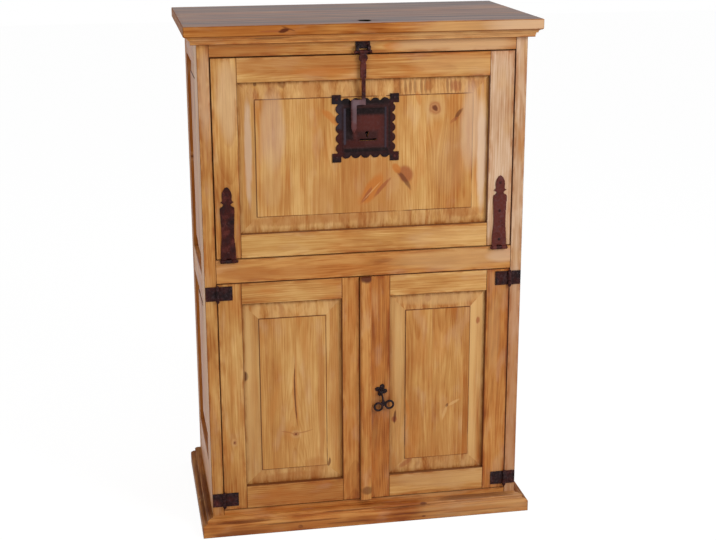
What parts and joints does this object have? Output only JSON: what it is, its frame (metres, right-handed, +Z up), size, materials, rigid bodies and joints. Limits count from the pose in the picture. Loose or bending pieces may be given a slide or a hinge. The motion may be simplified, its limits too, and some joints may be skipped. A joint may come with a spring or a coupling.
{
  "type": "bar cabinet",
  "caption": "Rustic pine bar cabinet: drop-front bar compartment above, cupboard with doors below, raised panels, moulded plinth and cornice, forged iron hinges, lock plate, hasp and drop pull.",
  "frame": {"origin": "on the floor, under the middle of the cabinet's overall box", "axes": "+X to the viewer's right, -Y out of the front, +Z up"},
  "size_m": [0.984, 0.566, 1.471],
  "materials": {
    "pine_post": "waxed pine, vertical grain, amber",
    "pine_rail": "waxed pine, grain along the rail",
    "pine_stile": "waxed pine, vertical grain, honey",
    "pine_panel": "waxed pine board, vertical grain, knots, stained slopes",
    "pine_moulding": "waxed pine moulding, darker amber",
    "pine_top": "waxed pine board, satin, grain across the width",
    "pine_inside": "planed pine, thinly waxed",
    "forged_iron": "hammered iron, rust brown, waxed",
    "hinge_iron": "flat iron, near black, worn edges",
    "nail_iron": "hand-made nails with low domed heads",
    "bar_steel": "bar steel, dull, unpolished"
  },
  "bodies": {
    "case": {"left_front_post": "pine_post", "right_front_post": "pine_post", "left_back_post": "pine_post", "right_back_post": "pine_post", "left_side_rails": "pine_rail", "right_side_rails": "pine_rail", "left_upper_panel": "pine_panel", "left_lower_panel": "pine_panel", "right_upper_panel": "pine_panel", "right_lower_panel": "pine_panel", "top_rail": "pine_rail", "middle_rail": "pine_rail", "bottom_rail": "pine_rail", "plinth_front": "pine_moulding", "plinth_left": "pine_moulding", "plinth_right": "pine_moulding", "top_board": "pine_top", "cornice_front": "pine_moulding", "cornice_left": "pine_moulding", "cornice_right": "pine_moulding", "bar_deck": "pine_inside", "cabinet_floor": "pine_inside", "lower_shelf": "pine_inside", "bar_shelf": "pine_inside", "cleats": "pine_inside", "back_boards": "pine_inside", "door_catches": "bar_steel", "case_hinge_leaves": "hinge_iron", "fall_hinge_leaves": "hinge_iron", "hinge_pins": "hinge_iron", "hasp_bracket": "forged_iron", "stay_guides": "bar_steel", "case_nails": "nail_iron"},
    "fall": {"fall_left_stile": "pine_stile", "fall_right_stile": "pine_stile", "fall_top_rail": "pine_rail", "fall_bottom_rail": "pine_rail", "fall_panel": "pine_panel", "left_strap_hinge": "forged_iron", "right_strap_hinge": "forged_iron", "lock_plate": "forged_iron", "lock_case": "bar_steel", "fall_stays": "bar_steel", "fall_nails": "nail_iron"},
    "hasp": {"hasp": "forged_iron"},
    "left_door": {"left_door_outer_stile": "pine_stile", "left_door_inner_stile": "pine_stile", "left_door_rails": "pine_rail", "left_door_panel": "pine_panel", "left_door_leaves": "hinge_iron", "left_door_fixings": "nail_iron"},
    "right_door": {"right_door_outer_stile": "pine_stile", "right_door_inner_stile": "pine_stile", "right_door_rails": "pine_rail", "right_door_panel": "pine_panel", "astragal": "pine_moulding", "right_door_leaves": "hinge_iron", "right_door_fixings": "nail_iron", "pull_rosette": "forged_iron"},
    "pull": {"drop_pull": "forged_iron"}
  },
  "joints": [
    {"name": "fall_hinge", "type": "hinge", "parent": "case", "child": "fall", "pos_m": [0, -0.2489, 0.822], "axis": [1, 0, 0], "range_deg": [0, 90]},
    {"name": "hasp_hinge", "type": "hinge", "parent": "fall", "child": "hasp", "pos_m": [-0.008, -0.252, 1.3915], "axis": [-1, 0, 0], "range_deg": [0, 120]},
    {"name": "left_door_hinge", "type": "hinge", "parent": "case", "child": "left_door", "pos_m": [-0.422, -0.2489, 0.41], "axis": [0, 0, -1], "range_deg": [0, 170]},
    {"name": "right_door_hinge", "type": "hinge", "parent": "case", "child": "right_door", "pos_m": [0.422, -0.2489, 0.41], "axis": [0, 0, 1], "range_deg": [0, 170]},
    {"name": "pull_hinge", "type": "hinge", "parent": "right_door", "child": "pull", "pos_m": [0.044, -0.252, 0.404], "axis": [-1, 0, 0], "range_deg": [0, 80]}
  ]
}
